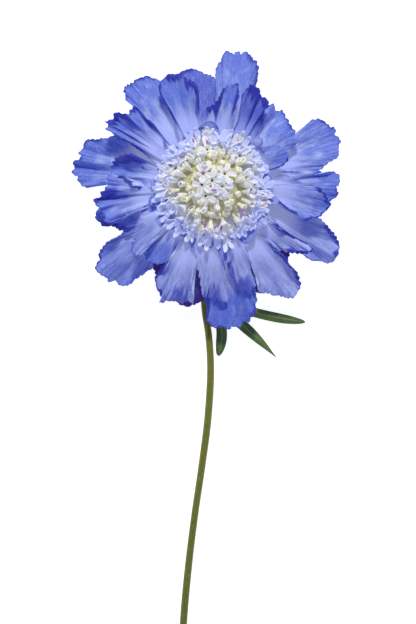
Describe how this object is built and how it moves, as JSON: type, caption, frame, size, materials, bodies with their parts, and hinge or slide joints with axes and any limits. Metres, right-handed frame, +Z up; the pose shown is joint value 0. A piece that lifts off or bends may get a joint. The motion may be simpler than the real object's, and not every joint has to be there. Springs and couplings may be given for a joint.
{
  "type": "pincushion flower",
  "caption": "Cut pincushion flower lying on its back, with toothed blue ray petals in layers round a domed pale disc, and a green stem with narrow leaves.",
  "frame": {"origin": "on the surface that the flower lies on, under the middle of the whole cut flower's box", "axes": "+Z up, the way the bloom faces; +Y along the lying stem, from its cut end towards the bloom"},
  "size_m": [0.0809, 0.1773, 0.0254],
  "materials": {
    "ray_petal": "matte blue petal with fine lengthwise veins, thin enough to let light through",
    "disc_floret": "matte white and pale lavender floret, cream-green in bud",
    "cup_green": "matte downy green",
    "leaf_green": "satin grey-green leaf with a paler midrib",
    "stem_green": "satin olive green stem with fine ridges and short hairs"
  },
  "bodies": {
    "root": {"stem": "stem_green", "leaf_right": "leaf_green", "leaf_middle": "leaf_green", "leaf_low": "leaf_green", "involucre": "cup_green", "ray_florets": "ray_petal", "disc_florets": "disc_floret"}
  },
  "joints": []
}
